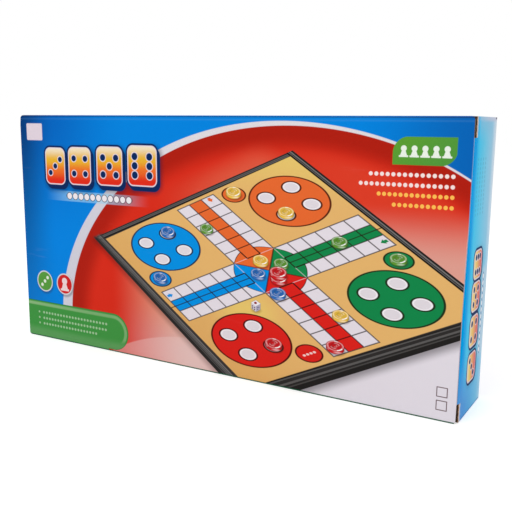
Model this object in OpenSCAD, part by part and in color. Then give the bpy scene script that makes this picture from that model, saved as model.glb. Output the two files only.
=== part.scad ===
// Tuck-end board game carton, standing on one long side, with the folding
// magnetic ludo board that it holds. X runs along the carton, the printed
// front faces -Y, and Z is up. The origin is the centre of the base.

/* [Carton] */
// Length of the carton, left end to right end
carton_l = 328; // [300:1:360]
// Thickness of the carton, front to back
carton_d = 49; // [46:0.5:60]
// Height of the carton as it stands
carton_h = 165; // [155:1:180]
// Thickness of the corrugated board
board_t = 1.4; // [1:0.1:1.8]
// Outer radius of the long creases
crease_r = 1.1; // [0.6:0.1:1.3]
// Width of the glued seam inside the back
seam_w = 16; // [10:1:25]

/* [Tuck ends] */
// Radius of the fold between an end panel and its tuck tab
fold_r = 2.4; // [1.8:0.1:3]
// Depth of the tuck tab from its crease
tab_l = 13; // [8:0.5:13]
// Lean of the closed tab away from the front panel, degrees
tab_lean = 15; // [15:1:17]
// Height of the slit lock at each end of the fold
slit_h = 11; // [8:0.5:16]
// Width of the slit, from the front panel back to the end panel's shoulder
slit_w = 4.4; // [3.4:0.1:6]
// Step from the front panel's edge out to the end panel's face
end_step = 0.7; // [0.5:0.1:1.4]
// Depth of a dust flap from its crease
dust_l = 42; // [30:1:55]
// Taper of a dust flap's back edge, degrees
dust_taper = 30; // [30:1:35]

/* [Board] */
// Length of one half of the board
half_l = 318; // [290:1:318]
// Height of one half of the board
half_h = 157; // [140:1:157]
// Depth of one half of the board
half_d = 19; // [16:0.5:19]
// Wall of the moulded halves
half_wall = 2.2; // [1.8:0.1:2.6]
// Corner radius of the halves
half_r = 7; // [4:0.5:10]
// Width of the rim round the playing surface
rim_w = 7; // [5:0.5:9]
// Number of grooves round the rim's side
groove_n = 3; // [2:1:3]

/* [Playing pieces] */
// Diameter of a pawn
pawn_d = 16; // [12:0.5:16]
// Height of a pawn
pawn_h = 6.5; // [5:0.5:7]
// Edge of the die
die_w = 10; // [8:0.5:10]
// Thickness of the foam that holds the pieces
foam_t = 14; // [13:0.5:15]

/* [Hidden] */
PAWN_NAMES = ["red", "blue", "green", "yellow"];
PAWN_COLOURS = ["#c8202c", "#2f6fc4", "#5aa040", "#e6b53c"];
$fn = 48;
PRINT_BLUE = "#0a6fc8";
KRAFT = "#b58a5e";
BLACK_PLASTIC = "#22262a";

// Clearances
play = 0.3;       // between leaves of board that slide past each other
pin_play = 0.05;  // round a crease bead or a hinge pin

// Carton
half_x = carton_l / 2;
half_y = carton_d / 2;
bead_r = board_t / 2;
front_in = -half_y + board_t;
end_axis_x = half_x - bead_r;
end_axis_y = half_y - bead_r;
front_end_x = half_x - end_step;
back_end_x = end_axis_x - bead_r - pin_play;
end_margin = 0.4;     // end panel short of the top and bottom faces
tab_axis_x = half_x - fold_r;
tab_axis_y = front_in + play + bead_r;
dust_axis_x = half_x - board_t - play - bead_r;
dust_half_w = half_y - board_t - play;
dust_cutback = 6.5;   // front edge set back, so that the tab passes
dust_shoulder = slit_h - 2;   // full width up to here, behind the slit lock
seam_end = dust_axis_x - bead_r - play;

// Board case, leaning on the seam and standing on the bottom panel
case_back = half_y - 2 * board_t;
case_mid = case_back - half_d;
case_front = case_mid - half_d;
case_z = board_t;
case_top = case_z + half_h;
sheet_t = 0.4;
sheet_recess = 1.2;
face_t = 1.8;          // moulded face behind the steel sheet
groove_deep = 0.8;
knuckle_r = 2.2;
pin_r = 1;
knuckle_l = 9;
knuckle_gap = 0.3;
hinge_x = 95;
latch_l = 30;
latch_w = 18;
latch_deep = 1.4;      // recess for the latch clip
latch_t = 1.2;
latch_bead_r = 0.45;

// Pieces
magnet_r = 4;
magnet_t = 1.5;
pawn_pitch = 41;      // between pockets along the foam
pawn_row = 32;        // between rows of pockets
pawn_aside = 14;      // first pockets this much further from the middle
pocket_floor_t = 3;
foam_l = half_l - 2 * (half_wall + groove_deep) - 2 * play;
foam_h = half_h - 2 * half_wall - 2 * play;
foam_y = case_back - sheet_recess - face_t;   // where the foam meets the rear half
foam_z = case_z + half_wall;
foam_front = foam_y - foam_t;
pawn_z = foam_z + foam_h / 2;
pip_r = 1;
pip_rise = 0.3;       // pip sphere's centre above the face
pip_pitch = die_w * 0.26;
leaf_t = 0.35;
leaflet_l = 140;
leaflet_h = 100;

// ---- helpers ----

// A box given by its two corners
module slab(a, b) {
    translate(a) cube(b - a);
}

// A rectangle in X and Z with round corners, drawn from y0 to y1
module round_slab(l, z0, z1, r, y0, y1) {
    translate([0, y1, 0]) rotate([90, 0, 0]) linear_extrude(y1 - y0)
        union() {
            translate([-l / 2 + r, z0]) square([l - 2 * r, z1 - z0]);
            translate([-l / 2, z0 + r]) square([l, z1 - z0 - 2 * r]);
            for (sx = [-1, 1])
                for (z = [z0 + r, z1 - r])
                    translate([sx * (l / 2 - r), z]) circle(r);
        }
}

// A rod along X, centred on x
module rod_x(x, y, z, r, l) {
    translate([x - l / 2, y, z]) rotate([0, 90, 0]) cylinder(r = r, h = l);
}

// A rod along Y from y0 to y1
module rod_y(x, z, r, y0, y1) {
    translate([x, y1, z]) rotate([90, 0, 0]) cylinder(r = r, h = y1 - y0);
}

// ---- carton sleeve ----

// Horizontal panel with the two rounded long creases, top side up
module long_panel() {
    rotate([90, 0, 90]) linear_extrude(2 * front_end_x, center = true)
        intersection() {
            translate([-half_y, 0]) square([carton_d, board_t]);
            union() {
                translate([-half_y + crease_r, 0]) square([carton_d - 2 * crease_r, board_t]);
                translate([-half_y, 0]) square([carton_d, board_t - crease_r]);
                for (s = [-1, 1])
                    translate([s * (half_y - crease_r), board_t - crease_r]) circle(crease_r);
            }
        }
}

// The long panel, set back at both ends for the dust flaps' creases and the end's hinge
module hinged_long_panel() {
    notch_x = dust_axis_x - bead_r - pin_play;
    notch_y = dust_half_w + play / 2;
    difference() {
        long_panel();
        for (s = [0, 1]) mirror([s, 0, 0]) {
            slab([notch_x, -notch_y, -1], [half_x, notch_y, board_t + 1]);
            slab([back_end_x, 0, -1], [half_x, half_y + 1, board_t + 1]);
        }
    }
}

module top_panel() color(PRINT_BLUE) {
    translate([0, 0, carton_h - board_t]) hinged_long_panel();
}

module bottom_panel() color(PRINT_BLUE) {
    translate([0, 0, board_t]) mirror([0, 0, 1]) hinged_long_panel();
}

module front_panel() color(PRINT_BLUE) {
    slab([-front_end_x, -half_y, board_t], [front_end_x, front_in, carton_h - board_t]);
}

module back_panel() color(PRINT_BLUE) {
    slab([-back_end_x, half_y - board_t, board_t], [back_end_x, half_y, carton_h - board_t]);
}

module glue_seam() color(KRAFT) {
    slab([-seam_end, half_y - 2 * board_t, board_t], [seam_end, half_y - board_t, board_t + seam_w]);
}

// ---- tuck ends, drawn for the right end ----

module end_panel() color(PRINT_BLUE) {
    tab_z0 = slit_h;
    tab_z1 = carton_h - slit_h;
    fold_y = front_in + play + fold_r;
    translate([end_axis_x, end_axis_y, end_margin]) cylinder(r = bead_r, h = carton_h - 2 * end_margin);
    slab([half_x - board_t, fold_y, tab_z0], [half_x, end_axis_y, tab_z1]);
    slab([half_x - board_t, front_in + slit_w, end_margin], [half_x, end_axis_y, carton_h - end_margin]);
    difference() {
        translate([tab_axis_x, fold_y, tab_z0]) intersection() {
            difference() {
                cylinder(r = fold_r, h = tab_z1 - tab_z0);
                translate([0, 0, -1]) cylinder(r = fold_r - board_t, h = carton_h);
            }
            translate([0, -fold_r, 0]) cube([fold_r, fold_r, carton_h]);
        }
        translate([tab_axis_x, tab_axis_y, 0]) cylinder(r = bead_r + pin_play, h = carton_h);
    }
}

// Tab outline in its own plane: x back from the crease, y up the carton
module tab_outline() {
    r = tab_l * 0.7;
    z0 = slit_h + play;
    z1 = carton_h - slit_h - play;
    intersection() {
        translate([-tab_l, z0]) square([tab_l, z1 - z0]);
        union() {
            translate([-tab_l, z0 + r]) square([tab_l, z1 - z0 - 2 * r]);
            translate([-tab_l + r, z0]) square([tab_l - r, z1 - z0]);
            for (z = [z0 + r, z1 - r]) translate([-tab_l + r, z]) circle(r);
        }
    }
}

module tuck_tab() color(KRAFT) {
    z0 = slit_h + play;
    z1 = carton_h - slit_h - play;
    translate([tab_axis_x, tab_axis_y, 0]) rotate([0, 0, -tab_lean]) {
        translate([0, bead_r, 0]) rotate([90, 0, 0]) linear_extrude(board_t) tab_outline();
        translate([0, 0, z0]) cylinder(r = bead_r, h = z1 - z0);
    }
}

// Dust flap outline: x from front to back, y away from the crease
module dust_outline() {
    w = dust_half_w;
    tip = w - dust_l * tan(dust_taper);
    neck = dust_shoulder + dust_cutback * tan(dust_taper);
    polygon([
        [-w, 0], [w - bead_r, 0], [tip, dust_l], [-w + dust_cutback, dust_l],
        [-w + dust_cutback, neck], [-w, dust_shoulder]
    ]);
}

// Dust flap that hangs from the top crease
module upper_dust_flap() color(KRAFT) {
    translate([dust_axis_x - bead_r, 0, carton_h - bead_r]) rotate([90, 0, 90])
        linear_extrude(board_t) mirror([0, 1]) dust_outline();
    rod_y(dust_axis_x, carton_h - bead_r, bead_r, -dust_half_w, dust_half_w);
}

module lower_dust_flap() color(KRAFT) {
    translate([0, 0, carton_h]) mirror([0, 0, 1]) upper_dust_flap();
}

module on_left() mirror([1, 0, 0]) children();

// ---- board case ----

// Moulded half with its face at y = 0 and its mouth at y = half_d
module half_shell() {
    band = half_d / (2 * groove_n + 1);
    difference() {
        union() {
            round_slab(half_l - 2 * groove_deep, case_z + groove_deep, case_top, half_r - groove_deep, 0, half_d);
            for (i = [0:groove_n])
                round_slab(half_l, case_z, case_top, half_r, 2 * i * band, (2 * i + 1) * band);
        }
        // storage space, open at the mouth
        round_slab(half_l - 2 * half_wall - 2 * groove_deep, case_z + half_wall, case_top - half_wall,
                   half_r - half_wall, sheet_recess + face_t, half_d + 1);
        // recess of the playing surface, open at the fold
        slab([-half_l / 2 + rim_w, -1, case_z + rim_w], [half_l / 2 - rim_w, sheet_recess, case_top + 1]);
        // recess of the latch clip
        slab([-latch_l / 2, half_d - latch_w / 2, case_z - 1], [latch_l / 2, half_d + 1, case_z + latch_deep]);
    }
}

// Places of a half's knuckles: the outer two of three, or the middle one
function knuckles(outer) = outer ? [-1, 1] : [0];

// Adds the knuckles of one half and clears those of the other
module hinged_half(outer_knuckles) {
    step = knuckle_l + knuckle_gap;
    difference() {
        union() {
            difference() {
                half_shell();
                for (s = [-1, 1])
                    for (k = knuckles(!outer_knuckles))
                        rod_x(s * hinge_x + k * step, half_d, case_top, knuckle_r + knuckle_gap,
                              knuckle_l + 2 * knuckle_gap);
            }
            for (s = [-1, 1])
                for (k = knuckles(outer_knuckles))
                    rod_x(s * hinge_x + k * step, half_d, case_top, knuckle_r, knuckle_l);
        }
        for (s = [-1, 1])
            rod_x(s * hinge_x, half_d, case_top, pin_r + pin_play, 4 * knuckle_l);
    }
}

module front_half() color(BLACK_PLASTIC) {
    translate([0, case_front, 0]) hinged_half(true);
}

module rear_half() color(BLACK_PLASTIC) {
    translate([0, case_back, 0]) mirror([0, 1, 0]) hinged_half(false);
}

module hinge_pin(s) color("silver") {
    rod_x(s * hinge_x, case_mid, case_top, pin_r, 3 * knuckle_l + 2 * knuckle_gap);
}

module latch_clip() color(BLACK_PLASTIC) {
    l = latch_l - 1;
    w = latch_w - 1;
    z1 = case_z + latch_deep;
    slab([-l / 2, case_mid - w / 2, z1 - latch_t], [l / 2, case_mid + w / 2, z1]);
    // a bead along each side snaps into the halves' lips
    for (s = [-1, 1]) rod_x(0, case_mid + s * w / 3, z1 - latch_t + latch_bead_r * 0.7, latch_bead_r, l * 0.8);
}

// A sheet in the recess of the playing surface, layer 0 next to the plastic
module face_sheet(layer, y_face, out) {
    gap = 0.4;
    y = y_face - out * (sheet_recess - layer * sheet_t);
    y0 = min(y, y + out * sheet_t);
    slab([-half_l / 2 + rim_w + gap, y0, case_z + rim_w + gap],
         [half_l / 2 - rim_w - gap, y0 + sheet_t, case_top - gap]);
}

module front_steel_sheet() color("silver") { face_sheet(0, case_front, -1); }
module rear_steel_sheet() color("silver") { face_sheet(0, case_back, 1); }
module front_playing_sheet() color("#e1b26e") { face_sheet(1, case_front, -1); }
module rear_playing_sheet() color("#e1b26e") { face_sheet(1, case_back, 1); }

// ---- playing pieces, in pockets of the foam ----

// Centre of pocket i of colour c, in X and Z
function pocket(c, i) = [
    (c < 2 ? -1 : 1) * (pawn_aside + (i % 2 + 1) * pawn_pitch),
    pawn_z + (c % 2 == 0 ? 1 : -1) * (i < 2 ? 0.5 : 1.5) * pawn_row
];
pawn_floor = foam_y - pocket_floor_t;      // floor of the pawn pockets, magnet side

module piece_foam() color("#3a3d40") {
    difference() {
        round_slab(foam_l, foam_z, foam_z + foam_h, half_r - half_wall, foam_front, foam_y);
        for (c = [0:3]) for (i = [0:3])
            rod_y(pocket(c, i)[0], pocket(c, i)[1], pawn_d / 2 + pin_play, foam_front - 1, pawn_floor);
        slab([-die_w / 2 - pin_play, foam_front - 1, pawn_z - die_w / 2 - pin_play],
             [die_w / 2 + pin_play, pawn_floor, pawn_z + die_w / 2 + pin_play]);
    }
}

// Disc pawn on the Z axis, magnet pocket underneath at z = 0
module pawn_shape() {
    r = pawn_d / 2;
    waist = r - 0.8;
    step = pawn_h / 5;
    difference() {
        union() {
            cylinder(r = waist, h = pawn_h);
            cylinder(r = r, h = 2 * step);
            translate([0, 0, 3 * step]) cylinder(r = r, h = 1.5 * step);
        }
        translate([0, 0, -1]) cylinder(r = magnet_r + pin_play, h = magnet_t + 1);
        // ring grooves in the top
        for (g = [0.42, 0.72])
            translate([0, 0, pawn_h - 0.6]) difference() {
                cylinder(r = r * g + 0.5, h = 1);
                translate([0, 0, -1]) cylinder(r = r * g - 0.5, h = 3);
            }
    }
}

module in_pocket(c, i) {
    p = pocket(c, i);
    translate([p[0], pawn_floor, p[1]]) rotate([90, 0, 0]) children();
}

module pawn(c, i) color(PAWN_COLOURS[c]) {
    in_pocket(c, i) pawn_shape();
}

module pawn_magnets(c) color("dimgray") {
    for (i = [0:3]) in_pocket(c, i) cylinder(r = magnet_r, h = magnet_t);
}

// Places of the pips on a face, for one to six
function pips(n) = [for (p = [
    [0, 0, n % 2 == 1], [-1, -1, n > 1], [1, 1, n > 1],
    [-1, 1, n > 3], [1, -1, n > 3], [-1, 0, n == 6], [1, 0, n == 6]
]) if (p[2]) [p[0], p[1]]];

module die() color("white") {
    h = die_w / 2;
    faces = [[0, 0, 0, 1], [180, 0, 0, 6], [90, 0, 0, 2], [-90, 0, 0, 5], [0, 90, 0, 3], [0, -90, 0, 4]];
    translate([0, pawn_floor - h, pawn_z]) difference() {
        intersection() {
            cube(die_w, center = true);
            sphere(r = die_w * 0.72);
        }
        for (f = faces)
            rotate([f[0], f[1], f[2]])
                for (p = pips(f[3]))
                    translate([p[0] * pip_pitch, p[1] * pip_pitch, h + pip_rise])
                        sphere(r = pip_r, $fn = 24);
    }
}

// Rules leaflet, folded in three, standing behind the face of the front half
module rules_leaflet() color("whitesmoke") {
    y0 = case_front + sheet_recess + face_t;
    for (i = [0:2])
        slab([-leaflet_l / 2 + i, y0 + i * leaf_t, foam_z],
             [leaflet_l / 2 - i, y0 + (i + 1) * leaf_t, foam_z + leaflet_h]);
}

front_panel();
back_panel();
top_panel();
bottom_panel();
glue_seam();
end_panel();  // right_end_panel
tuck_tab();  // right_tuck_tab
upper_dust_flap();  // right_upper_dust_flap
lower_dust_flap();  // right_lower_dust_flap
on_left() end_panel();  // left_end_panel
on_left() tuck_tab();  // left_tuck_tab
on_left() upper_dust_flap();  // left_upper_dust_flap
on_left() lower_dust_flap();  // left_lower_dust_flap
front_half();
rear_half();
hinge_pin(-1);  // hinge_pin_left
hinge_pin(1);  // hinge_pin_right
latch_clip();
front_steel_sheet();
rear_steel_sheet();
front_playing_sheet();
rear_playing_sheet();
piece_foam();
rules_leaflet();
die();
for (c = [0:3]) {
    for (i = [0:3])
        pawn(c, i);
    pawn_magnets(c);
}
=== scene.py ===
"""Looks of a tuck-end game carton and the folded board case inside it.

Lengths in this file are millimetres until mm() turns them into Blender's metres.
The print on the carton is drawn by shader nodes from places on the panels.
"""
import math

import bmesh
import bpy
import numpy as np
from mathutils import Matrix, Vector, noise


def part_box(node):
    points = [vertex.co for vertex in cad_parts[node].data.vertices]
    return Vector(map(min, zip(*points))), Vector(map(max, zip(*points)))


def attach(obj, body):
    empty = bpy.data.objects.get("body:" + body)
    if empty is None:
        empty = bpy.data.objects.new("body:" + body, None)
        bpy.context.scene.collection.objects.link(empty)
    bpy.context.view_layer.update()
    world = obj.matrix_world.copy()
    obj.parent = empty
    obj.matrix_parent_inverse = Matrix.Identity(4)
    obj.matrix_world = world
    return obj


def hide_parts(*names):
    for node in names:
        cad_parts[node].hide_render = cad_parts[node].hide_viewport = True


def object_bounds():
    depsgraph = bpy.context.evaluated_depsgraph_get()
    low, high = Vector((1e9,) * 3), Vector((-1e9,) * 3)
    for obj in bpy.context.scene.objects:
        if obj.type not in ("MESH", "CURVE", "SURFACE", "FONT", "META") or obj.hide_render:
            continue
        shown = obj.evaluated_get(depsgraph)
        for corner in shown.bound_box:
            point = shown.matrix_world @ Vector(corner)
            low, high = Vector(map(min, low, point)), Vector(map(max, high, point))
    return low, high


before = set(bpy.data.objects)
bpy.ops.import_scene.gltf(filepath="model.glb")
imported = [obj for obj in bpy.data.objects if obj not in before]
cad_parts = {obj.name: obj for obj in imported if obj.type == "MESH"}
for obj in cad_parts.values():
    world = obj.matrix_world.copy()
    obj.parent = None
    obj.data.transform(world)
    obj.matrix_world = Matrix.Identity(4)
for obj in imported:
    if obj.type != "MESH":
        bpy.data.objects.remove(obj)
CAD_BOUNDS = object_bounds()

# ---- sizes from the frame, in millimetres ----

MM = 0.001
HIGH = CAD_BOUNDS[1] / MM
HALF_X = HIGH.x
HALF_Y = HIGH.y
HEIGHT = HIGH.z
MID_Z = HEIGHT / 2
BOARD_T = 1.4
# Radians a millimetre of the board's flutes
FLUTES = 2 * math.pi / 3.3


def node_box(name):
    """Lowest and highest corner of a CAD node, in millimetres."""
    lo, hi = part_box(name)
    return lo / MM, hi / MM


FRONT_END = node_box("front_panel")[1].x
TOP_END = node_box("right_upper_dust_flap")[0].x - 0.05
BACK_END = node_box("back_panel")[1].x
FLAP_HALF_W = node_box("right_upper_dust_flap")[1].y
SLIT_H = 11.0
SLIT_W = 4.4
SHOULDER_Y = -HALF_Y + BOARD_T + SLIT_W
LOW_SHOULDER_Y = SHOULDER_Y - 1.9


def rgb(r, g, b):
    """A colour written as 8-bit sRGB, as the linear RGBA that shaders take."""
    def linear(c):
        c = c / 255
        return c / 12.92 if c <= 0.04045 else ((c + 0.055) / 1.055) ** 2.4
    return (linear(r), linear(g), linear(b), 1.0)


WHITE = rgb(255, 255, 255)
PAPER_WHITE = rgb(226, 219, 226)
BLACK = rgb(0, 0, 0)
NAVY = rgb(8, 40, 92)
INK_LINE = rgb(30, 16, 14)

# ---- arithmetic on shader nodes ----


class Field:
    """A number that varies over a surface: one output of a node."""

    def __init__(self, shader, socket):
        self.shader = shader
        self.socket = socket

    def __add__(self, other):
        return self.shader.math("ADD", self, other)

    def __sub__(self, other):
        return self.shader.math("SUBTRACT", self, other)

    def __rsub__(self, other):
        return self.shader.math("SUBTRACT", other, self)

    def __mul__(self, other):
        return self.shader.math("MULTIPLY", self, other)

    def __truediv__(self, other):
        return self.shader.math("DIVIDE", self, other)

    def __neg__(self):
        return self * -1

    __radd__ = __add__
    __rmul__ = __mul__

    def abs(self):
        return self.shader.math("ABSOLUTE", self)

    def min(self, other):
        return self.shader.math("MINIMUM", self, other)

    def max(self, other):
        return self.shader.math("MAXIMUM", self, other)

    def over(self, level):
        """1 where the number is above the level, 0 elsewhere."""
        return self.shader.math("GREATER_THAN", self, level)

    def cell(self, pitch):
        """Distance from the middle of its own cell, in a row of cells that starts at 0."""
        return self.shader.math("PINGPONG", self, pitch / 2) * -1 + pitch / 2

    def ramp(self, low, high, smooth=True):
        """0 at low, 1 at high and clamped outside; low may be the larger."""
        if not smooth:
            slope = 1 / (high - low)
            return self.shader.math("MULTIPLY_ADD", self, slope, -low * slope).max(0).min(1)
        node = self.shader.node("ShaderNodeMapRange")
        node.interpolation_type = "SMOOTHSTEP"
        # a smooth step is clamped as it is; clamp nodes come late and would fill the renderer's stack
        node.clamp = False
        flip = low > high
        self.shader.feed(node.inputs["Value"], self)
        node.inputs["From Min"].default_value = min(low, high)
        node.inputs["From Max"].default_value = max(low, high)
        node.inputs["To Min"].default_value = 1.0 if flip else 0.0
        node.inputs["To Max"].default_value = 0.0 if flip else 1.0
        return Field(self.shader, node.outputs["Result"])

    def cover(self, soft=0.3):
        """How far a signed distance lies inside its shape, 0 to 1, with a soft edge."""
        return self.ramp(soft * 0.6, soft * -0.6)


class Nodes:
    """Builds the nodes of one tree."""

    def __init__(self, tree):
        self.tree = tree

    def node(self, kind):
        return self.tree.nodes.new(kind)

    def feed(self, socket, value):
        """Puts a number, a colour, a Field or a socket into a socket."""
        if isinstance(value, Field):
            value = value.socket
        if isinstance(value, bpy.types.NodeSocket):
            self.tree.links.new(value, socket)
        else:
            socket.default_value = value

    def math(self, operation, a, b=None, c=None):
        node = self.node("ShaderNodeMath")
        node.operation = operation
        for socket, value in zip(node.inputs, (a, b, c)):
            if value is not None:
                self.feed(socket, value)
        return Field(self, node.outputs[0])

    def length(self, a, b):
        """Length of the vector (a, b)."""
        return self.math("SQRT", self.math("MULTIPLY_ADD", a, a, b * b))

    def disc(self, a, b, ca, cb, radius):
        """Signed distance from a circle."""
        return self.length(a - ca, b - cb) - radius

    def ellipse(self, a, b, ca, cb, ra, rb):
        """Signed distance from an ellipse, in millimetres near its edge."""
        return (self.length((a - ca) / ra, (b - cb) / rb) - 1) * min(ra, rb)

    def box(self, a, b, ca, cb, half_a, half_b, radius=0.0):
        """Signed distance from a rectangle with round corners."""
        da = (a - ca).abs() - (half_a - radius)
        db = (b - cb).abs() - (half_b - radius)
        return self.length(da.max(0), db.max(0)) + da.max(db).min(0) - radius

    def mix(self, under, over, amount):
        """Colour between two colours."""
        node = self.node("ShaderNodeMix")
        node.data_type = "RGBA"
        self.feed(node.inputs[0], amount)
        self.feed(node.inputs[6], under)
        self.feed(node.inputs[7], over)
        return node.outputs[2]

    def tinted(self, colour, *tints):
        """A colour with tints laid over it one by one: each is a colour and its amount."""
        for tint, amount in tints:
            colour = self.mix(colour, tint, amount)
        return colour

    def blend(self, under, over, amount):
        """Number between two numbers."""
        return self.math("MULTIPLY_ADD", self.math("SUBTRACT", over, under), amount, under)

    def layer(self, draw, ink, *fields):
        """Draws on an ink in a node group of its own, which keeps every tree small."""
        group = bpy.data.node_groups.new(draw.__name__, "ShaderNodeTree")
        group.interface.new_socket("Ink", in_out="INPUT", socket_type="NodeSocketColor")
        for i in range(len(fields)):
            group.interface.new_socket(f"Place {i + 1}", in_out="INPUT", socket_type="NodeSocketFloat")
        group.interface.new_socket("Ink", in_out="OUTPUT", socket_type="NodeSocketColor")
        inner = Nodes(group)
        start = inner.node("NodeGroupInput")
        layer_ink = Ink(inner, start.outputs[0])
        draw(inner, layer_ink, *[Field(inner, start.outputs[i + 1]) for i in range(len(fields))])
        inner.feed(inner.node("NodeGroupOutput").inputs[0], layer_ink.colour)
        node = self.node("ShaderNodeGroup")
        node.node_tree = group
        self.feed(node.inputs[0], ink.colour)
        for socket, field in zip(node.inputs[1:], fields):
            self.feed(socket, field)
        ink.colour = node.outputs[0]


class Shader(Nodes):
    """One material under construction."""

    def __init__(self, name):
        self.material = bpy.data.materials.new(name)
        self.material.use_nodes = True
        super().__init__(self.material.node_tree)
        self.tree.nodes.clear()
        self.output = self.node("ShaderNodeOutputMaterial")
        self.surface = self.node("ShaderNodeBsdfPrincipled")
        self.tree.links.new(self.surface.outputs["BSDF"], self.output.inputs["Surface"])
        self.coordinates = self.node("ShaderNodeTexCoord").outputs["Object"]

    def place(self):
        """Object coordinates in millimetres, as three fields."""
        scale = self.node("ShaderNodeVectorMath")
        scale.operation = "SCALE"
        self.feed(scale.inputs[0], self.coordinates)
        scale.inputs["Scale"].default_value = 1 / MM
        split = self.node("ShaderNodeSeparateXYZ")
        self.feed(split.inputs[0], scale.outputs[0])
        return [Field(self, out) for out in split.outputs]

    def noise(self, scale, detail=2.0, stretch=(1, 1, 1)):
        """Noise of about `scale` features a metre, 0 to 1."""
        mapping = self.node("ShaderNodeMapping")
        mapping.inputs["Scale"].default_value = stretch
        self.feed(mapping.inputs["Vector"], self.coordinates)
        node = self.node("ShaderNodeTexNoise")
        node.inputs["Scale"].default_value = scale
        node.inputs["Detail"].default_value = detail
        self.feed(node.inputs["Vector"], mapping.outputs[0])
        return Field(self, node.outputs[0])

    def bump(self, height, distance, below=None):
        """Adds a bump from a height field, distance in millimetres."""
        node = self.node("ShaderNodeBump")
        node.inputs["Distance"].default_value = distance * MM
        self.feed(node.inputs["Height"], height)
        if below is not None:
            self.feed(node.inputs["Normal"], below)
        return node.outputs[0]

    def finish(self, colour, roughness, normal=None, **constants):
        """Sets the surface's sockets; roughness may be a field."""
        self.feed(self.surface.inputs["Base Color"], colour)
        self.feed(self.surface.inputs["Roughness"], roughness)
        if normal is not None:
            self.feed(self.surface.inputs["Normal"], normal)
        for name, value in constants.items():
            self.surface.inputs[name.replace("_", " ")].default_value = value
        return self.material


class Ink:
    """A print that is built up layer by layer."""

    def __init__(self, shader, ground):
        self.shader = shader
        self.colour = ground

    def lay(self, colour, amount):
        self.colour = self.shader.mix(self.colour, colour, amount)

    def fill(self, colour, distance, soft=0.3, strength=1.0):
        amount = distance.cover(soft)
        self.lay(colour, amount if strength == 1 else amount * strength)


def inset(offset, half):
    """How far inside a pair of faces a place lies, from its offset to the middle between them."""
    return -offset.abs() + half


# ---- the front print: places in millimetres from the middle of its own foot ----

# Where the corners of the print, which is drawn as large as the carton, lie on the panel
PRINT_CORNERS = [((-HALF_X, 0), (-162.2, 0.9)), ((HALF_X, 0), (163.9, 1.3)),
                 ((HALF_X, HEIGHT), (163.9, 164.5)), ((-HALF_X, HEIGHT), (-163.4, 164.5))]

# Two ellipses bound the white arc: centre x, centre z, radius along x, radius along z
ARC_OUTER = (53.2, 19.7, 182.3, 142.8)
ARC_INNER = (57.4, 21.0, 177.3, 138.8)
# The pictured board: where the corners of its 16 by 16 cell square lie in the print
BOARD_CORNERS = [((-8, 8), (-88.5, 81.0)), ((8, 8), (59.3, 143.9)),
                 ((8, -8), (180.8, 64.1)), ((-8, -8), (30.9, -7.9))]
SHEET_NEAR = 7.82
SHEET_FAR = 7.78
FRAME_FAR = 8.24
ARM_END = 7.5
ARM_HALF = 1.5
YARD = (5.03, 4.51)
YARD_R = 2.3
HOLE_OFFSET = 0.94
HOLE_R = 0.49
START = (2.6, 6.77)
START_R = 0.68
CELL_LINE = 0.042
BOARD_ORANGE = rgb(228, 104, 48)
BOARD_GREEN = rgb(18, 132, 72)
BOARD_RED = rgb(216, 34, 28)
BOARD_BLUE = rgb(2, 142, 224)
SHEET_TAN = rgb(226, 178, 108)
PAWN_INKS = {
    "yellow": rgb(236, 192, 74), "blue": rgb(44, 108, 186),
    "red": rgb(206, 30, 36), "green": rgb(96, 150, 52),
}
# Pawns on the pictured board from far to near: colour, place in cells and radius
PICTURED_PAWNS = [
    ("yellow", 2.72, 6.96, 5.3), ("yellow", 4.22, 3.74, 5.2), ("green", -0.97, 5.03, 4.8),
    ("blue", -3.44, 6.1, 5.5), ("green", 5.09, 0.11, 4.9), ("yellow", 0.08, 0.96, 5.3),
    ("green", 6.81, -2.52, 4.9), ("green", 0.97, 0.16, 4.8), ("blue", -0.81, 0.07, 5.1),
    ("blue", -6.73, 2.68, 5.6), ("red", -0.01, -0.83, 5.5), ("red", 0.3, -0.42, 5.7),
    ("blue", -0.9, -1.88, 5.5), ("yellow", 1.04, -4.94, 5.2), ("red", -3.99, -5.34, 5.9),
    ("red", -0.91, -6.89, 5.7),
]
PAWN_RISE = 0.3
PAWN_FLAT = 0.55
PICTURED_DIE = (-2.8, -2.18)
# Millimetres in a cell near the frame, and the softness of the frame's edges
CELL_MM = 9
FRAME_SOFT = 0.4
# Out of reach of every pawn
FAR_AWAY = 1000


def plane_map(corners):
    """Matrix of the perspective map that takes four places to four others."""
    rows = []
    places = []
    for (a, b), (x, z) in corners:
        rows.append([a, b, 1, 0, 0, 0, -a * x, -b * x])
        rows.append([0, 0, 0, a, b, 1, -a * z, -b * z])
        places += [x, z]
    return np.append(np.linalg.solve(np.array(rows), np.array(places)), 1).reshape(3, 3)


BOARD_TO_PRINT = plane_map(BOARD_CORNERS)
PRINT_TO_BOARD = np.linalg.inv(BOARD_TO_PRINT)
PANEL_TO_PRINT = np.linalg.inv(plane_map(PRINT_CORNERS))


def in_print(p, q):
    """Place in the print of a place on the pictured board."""
    x, z, w = BOARD_TO_PRINT @ (p, q, 1)
    return x / w, z / w


def mapped(s, matrix, x, z):
    """Two fields taken through a perspective map."""
    def row(k):
        a, b, c = (float(v) for v in matrix[k])
        return s.math("MULTIPLY_ADD", x, a, s.math("MULTIPLY_ADD", z, b, c))
    w = row(2)
    return row(0) / w, row(1) / w


def line_distance(s, x, z, start, end):
    """Distance to the left of the line from start to end."""
    dx, dz = end[0] - start[0], end[1] - start[1]
    size = math.hypot(dx, dz)
    a, b = -dz / size, dx / size
    return s.math("MULTIPLY_ADD", x, a, s.math("MULTIPLY_ADD", z, b, -(a * start[0] + b * start[1])))


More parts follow.
